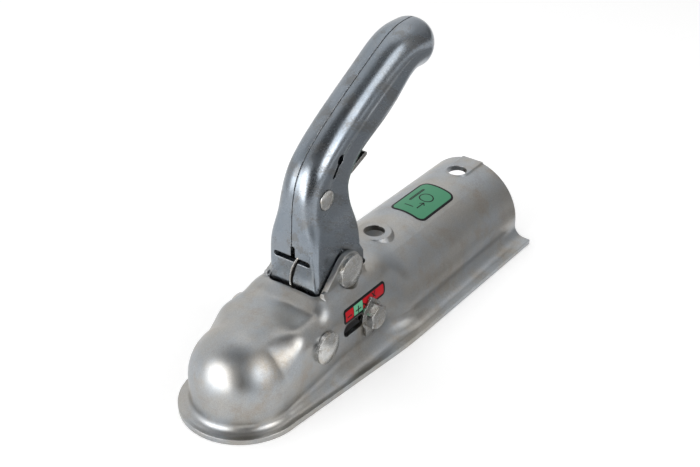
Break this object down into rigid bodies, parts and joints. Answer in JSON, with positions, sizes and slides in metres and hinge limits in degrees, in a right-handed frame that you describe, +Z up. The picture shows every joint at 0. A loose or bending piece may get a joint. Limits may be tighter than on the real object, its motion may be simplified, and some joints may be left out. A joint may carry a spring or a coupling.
{
  "type": "trailer coupling head",
  "caption": "Pressed steel towing ball coupling head with a hand lever, safety catch, ball cup, wear pointer and half-tube for the drawbar.",
  "frame": {"origin": "centre of the 50 mm ball that sits in the socket", "axes": "+X forward to the nose, +Z up, +Y the side with the wear pointer"},
  "size_m": [0.2618, 0.0904, 0.1675],
  "materials": {
    "pressed_zinc": "zinc plated, worn",
    "handle_zinc": "zinc plated, bluish",
    "rivet_steel": "zinc plated rivets",
    "trigger_zinc": "zinc plated",
    "dark_steel": "greased steel",
    "cast_cup": "greased casting",
    "spring_wire": "oiled wire",
    "indicator_film": "red and green film",
    "notice_film": "green film"
  },
  "bodies": {
    "root": {"housing": "pressed_zinc", "pivot_rivet": "rivet_steel", "cup_rivet": "rivet_steel", "catch_plate": "dark_steel", "catch_spacers": "rivet_steel", "cup_spacers": "rivet_steel", "spring_bracket": "dark_steel", "spring_stud": "rivet_steel", "indicator_label": "indicator_film", "notice_label": "notice_film"},
    "handle": {"handle_shell": "handle_zinc", "pivot_bushes": "rivet_steel", "trigger_rivet": "rivet_steel", "trigger_spring": "spring_wire"},
    "trigger": {"trigger": "trigger_zinc"},
    "cup": {"ball_cup": "cast_cup", "cup_spring": "spring_wire"},
    "slider": {"push_block": "dark_steel", "indicator_bolt": "rivet_steel", "pointer_washer": "rivet_steel", "plain_washer": "rivet_steel", "lock_nut": "rivet_steel", "bolt_sleeve": "rivet_steel", "closing_spring": "spring_wire"}
  },
  "joints": [
    {"name": "handle_turn", "type": "hinge", "parent": "root", "child": "handle", "pos_m": [-0.066, 0, 0.0374], "axis": [0, 1, 0], "range_deg": [-42, 0]},
    {"name": "trigger_press", "type": "hinge", "parent": "handle", "child": "trigger", "pos_m": [-0.0572, 0, 0.0818], "axis": [0, 1, 0], "range_deg": [0, 5], "stiffness_Nm_per_rad": 0.3, "springref_deg": -5.73, "deforming": ["trigger_spring"]},
    {"name": "cup_turn", "type": "hinge", "parent": "root", "child": "cup", "pos_m": [-0.033, 0, 0.0103], "axis": [0, 1, 0], "range_deg": [-15, 0], "deforming": ["cup_spring"]},
    {"name": "slider_travel", "type": "slide", "parent": "root", "child": "slider", "axis": [1, 0, 0], "range_m": [0, 0.012], "deforming": ["closing_spring"]}
  ],
  "couplings": [
    {"joint": "cup_turn", "follows": "handle_turn", "ratio": 0.35714},
    {"joint": "slider_travel", "follows": "handle_turn", "m_per_rad": -0.01637}
  ]
}
